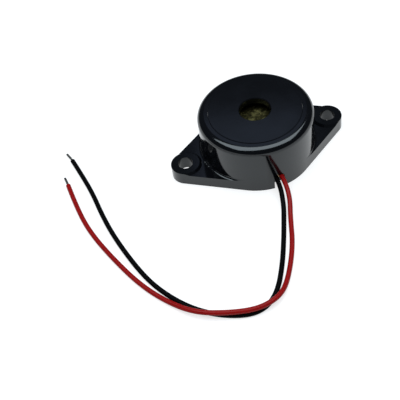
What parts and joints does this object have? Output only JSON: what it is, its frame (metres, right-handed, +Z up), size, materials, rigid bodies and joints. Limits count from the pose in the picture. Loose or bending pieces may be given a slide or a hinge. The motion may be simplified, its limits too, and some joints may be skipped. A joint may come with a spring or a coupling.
{
  "type": "piezo buzzer",
  "caption": "Round black piezo buzzer with two mounting ears, a sound hole over a brass disc, and red and black lead wires with bare ends.",
  "frame": {"origin": "centre of the drum's foot, on the mounting plane", "axes": "+X along the two ears, -Y toward the wire notch, +Z up out of the sound hole"},
  "size_m": [0.056, 0.051, 0.0108],
  "materials": {
    "case_plastic": "glossy black moulding",
    "cover_plastic": "satin black",
    "brass": "rolled",
    "adhesive": "milky silicone",
    "ceramic": "fired",
    "silver": "fired silver",
    "board": "phenolic board",
    "ferrite": "dull grey-black",
    "copper_wire": "enamelled copper",
    "tinned_pin": "tinned",
    "epoxy": "moulded epoxy",
    "resistor_body": "glazed chip",
    "solder": "bright solder",
    "jumper_wire": "tinned thin wire",
    "black_insulation": "soft vinyl",
    "red_insulation": "soft vinyl",
    "tinned_strand": "tinned strands"
  },
  "bodies": {
    "root": {"case": "case_plastic", "back_cover": "cover_plastic", "diaphragm": "brass", "diaphragm_adhesive": "adhesive", "piezo_ceramic": "ceramic", "main_electrode": "silver", "feedback_electrode": "silver", "circuit_board": "board", "inductor_core": "ferrite", "inductor_winding": "copper_wire", "inductor_pins": "tinned_pin", "transistor_body": "epoxy", "transistor_legs": "tinned_pin", "resistor_bodies": "resistor_body", "resistor_terminals": "tinned_pin", "board_solder": "solder", "element_solder": "solder", "brass_jumper": "jumper_wire", "drive_jumper": "jumper_wire", "feedback_jumper": "jumper_wire", "black_lead": "black_insulation", "red_lead": "red_insulation", "black_lead_tip": "tinned_strand", "red_lead_tip": "tinned_strand", "black_lead_board_end": "tinned_strand", "red_lead_board_end": "tinned_strand"}
  },
  "joints": []
}
